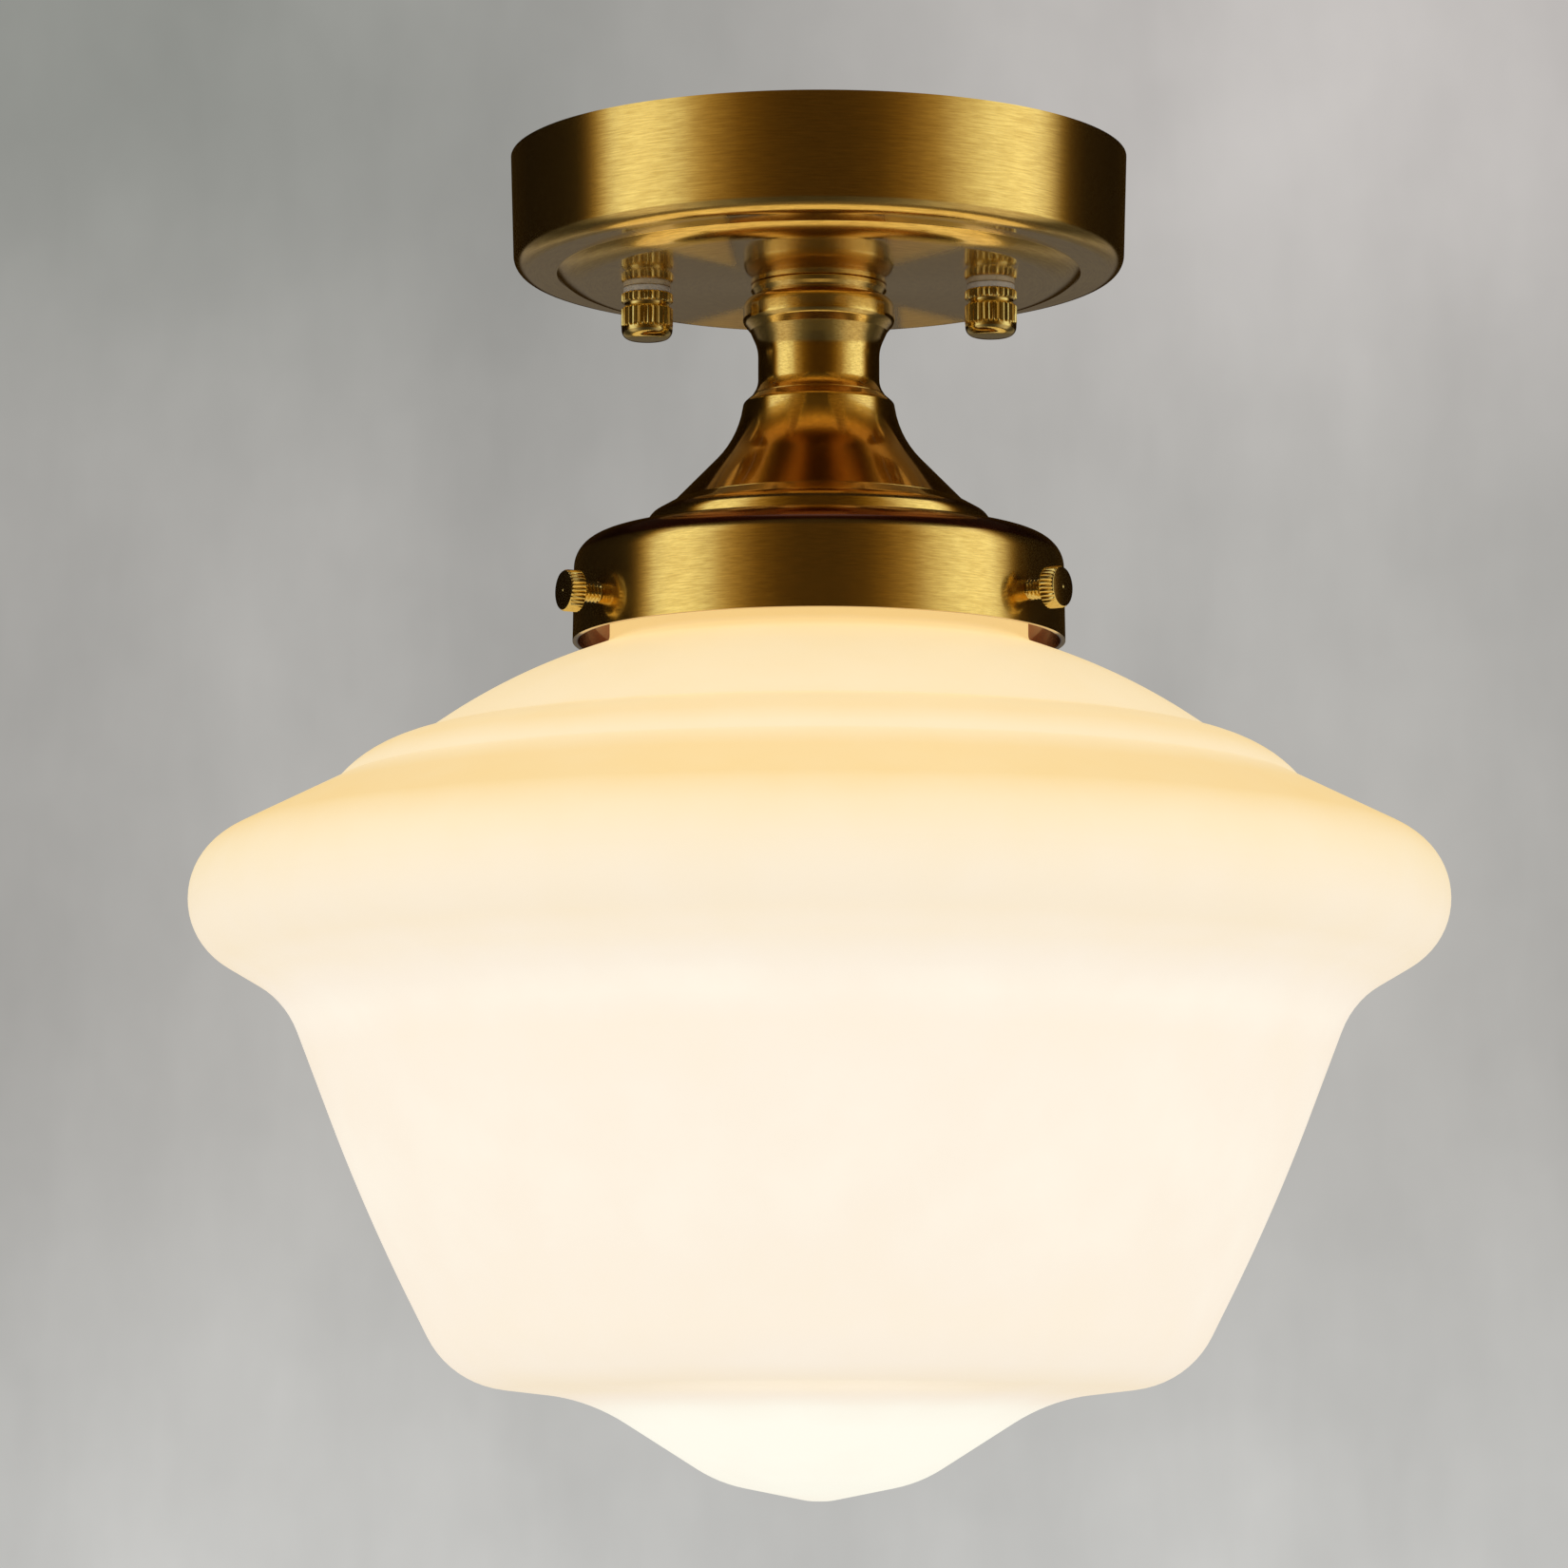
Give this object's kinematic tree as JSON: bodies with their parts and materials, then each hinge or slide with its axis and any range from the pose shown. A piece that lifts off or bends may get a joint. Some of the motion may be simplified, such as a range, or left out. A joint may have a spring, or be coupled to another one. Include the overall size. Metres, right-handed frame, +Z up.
{
  "type": "semi flush ceiling light",
  "caption": "Semi flush ceiling light: brass canopy, turned stem and shade holder carrying a stepped, bowl-shaped opal glass shade.",
  "frame": {"origin": "centre of the ceiling plane, on the light's vertical axis, at the top face of the ceiling strap", "axes": "+Z up into the outlet box, +X along the ceiling strap and its box screws, -Y towards the picture's camera"},
  "size_m": [0.2524, 0.2524, 0.2744],
  "materials": {
    "brushed_brass": "fine circumferential brushing, satin",
    "zinc_steel": "bright zinc plating",
    "green_steel": "green dyed plating",
    "clear_nylon": "natural translucent",
    "opal_glass": "glossy opal white, lit from inside",
    "porcelain": "white glaze",
    "plain_brass": "drawn, bright",
    "frosted_glass": "inside frosted",
    "clear_glass": "clear",
    "cap_aluminium": "rolled, bright",
    "cap_glass": "black glass",
    "solder": "dull solder",
    "tungsten": "dull wire",
    "black_insulation": "smooth sleeve",
    "white_insulation": "smooth sleeve",
    "connector_plastic": "moulded orange"
  },
  "bodies": {
    "fixture": {"canopy": "brushed_brass", "stem_neck": "brushed_brass", "stem_bell": "brushed_brass", "base_ring": "brushed_brass", "shade_holder": "brushed_brass", "crossbar": "zinc_steel", "mounting_screw_left": "zinc_steel", "mounting_screw_right": "zinc_steel", "lock_nut_left": "zinc_steel", "lock_nut_right": "zinc_steel", "nipple": "zinc_steel", "nipple_washer": "zinc_steel", "nipple_nut_top": "zinc_steel", "nipple_nut_bottom": "zinc_steel", "lampholder_bracket": "zinc_steel", "lampholder_screws": "zinc_steel", "ground_screw": "green_steel", "glass_shade": "opal_glass", "lampholder_body": "porcelain", "lampholder_shell": "plain_brass", "lampholder_contact": "plain_brass", "lead_black": "black_insulation", "lead_white": "white_insulation", "connector_black": "connector_plastic", "connector_white": "connector_plastic"},
    "cap_washer_left": {"cap_washer_left": "clear_nylon"},
    "cap_nut_left": {"cap_nut_left": "plain_brass"},
    "cap_washer_right": {"cap_washer_right": "clear_nylon"},
    "cap_nut_right": {"cap_nut_right": "plain_brass"},
    "bulb_contact": {"bulb_contact": "solder"},
    "bulb": {"bulb_globe": "frosted_glass", "bulb_cap": "cap_aluminium", "bulb_insulator": "cap_glass", "bulb_mount": "clear_glass", "bulb_filament": "tungsten"},
    "thumb_screw_front_left": {"thumb_screw_front_left": "plain_brass"},
    "thumb_screw_front_right": {"thumb_screw_front_right": "plain_brass"},
    "thumb_screw_back": {"thumb_screw_back": "plain_brass"}
  },
  "joints": [
    {"name": "cap_nut_left_drop", "type": "slide", "parent": "fixture", "child": "cap_washer_left", "axis": [0, 0, -1], "range_m": [0, 0.0064]},
    {"name": "cap_nut_left_turn", "type": "hinge", "parent": "cap_washer_left", "child": "cap_nut_left", "pos_m": [-0.03492, 0, -0.03], "axis": [0, 0, -1], "range_deg": [0, 2880]},
    {"name": "cap_nut_right_drop", "type": "slide", "parent": "fixture", "child": "cap_washer_right", "axis": [0, 0, -1], "range_m": [0, 0.0064]},
    {"name": "cap_nut_right_turn", "type": "hinge", "parent": "cap_washer_right", "child": "cap_nut_right", "pos_m": [0.03492, 0, -0.03], "axis": [0, 0, -1], "range_deg": [0, 2880]},
    {"name": "bulb_drop", "type": "slide", "parent": "fixture", "child": "bulb_contact", "axis": [0, 0, -1], "range_m": [0, 0.022]},
    {"name": "bulb_turn", "type": "hinge", "parent": "bulb_contact", "child": "bulb", "pos_m": [0, 0, -0.15], "axis": [0, 0, -1], "range_deg": [0, 2160]},
    {"name": "thumb_screw_front_left_travel", "type": "slide", "parent": "fixture", "child": "thumb_screw_front_left", "axis": [-0.866, -0.5, 0], "range_m": [0, 0.00635]},
    {"name": "thumb_screw_front_right_travel", "type": "slide", "parent": "fixture", "child": "thumb_screw_front_right", "axis": [0.866, -0.5, 0], "range_m": [0, 0.00635]},
    {"name": "thumb_screw_back_travel", "type": "slide", "parent": "fixture", "child": "thumb_screw_back", "axis": [0, 1, 0], "range_m": [0, 0.00635]}
  ],
  "couplings": [
    {"joint": "cap_nut_left_drop", "follows": "cap_nut_left_turn", "m_per_rad": 0.00012633},
    {"joint": "cap_nut_right_drop", "follows": "cap_nut_right_turn", "m_per_rad": 0.00012633},
    {"joint": "bulb_drop", "follows": "bulb_turn", "m_per_rad": 0.0005775}
  ]
}
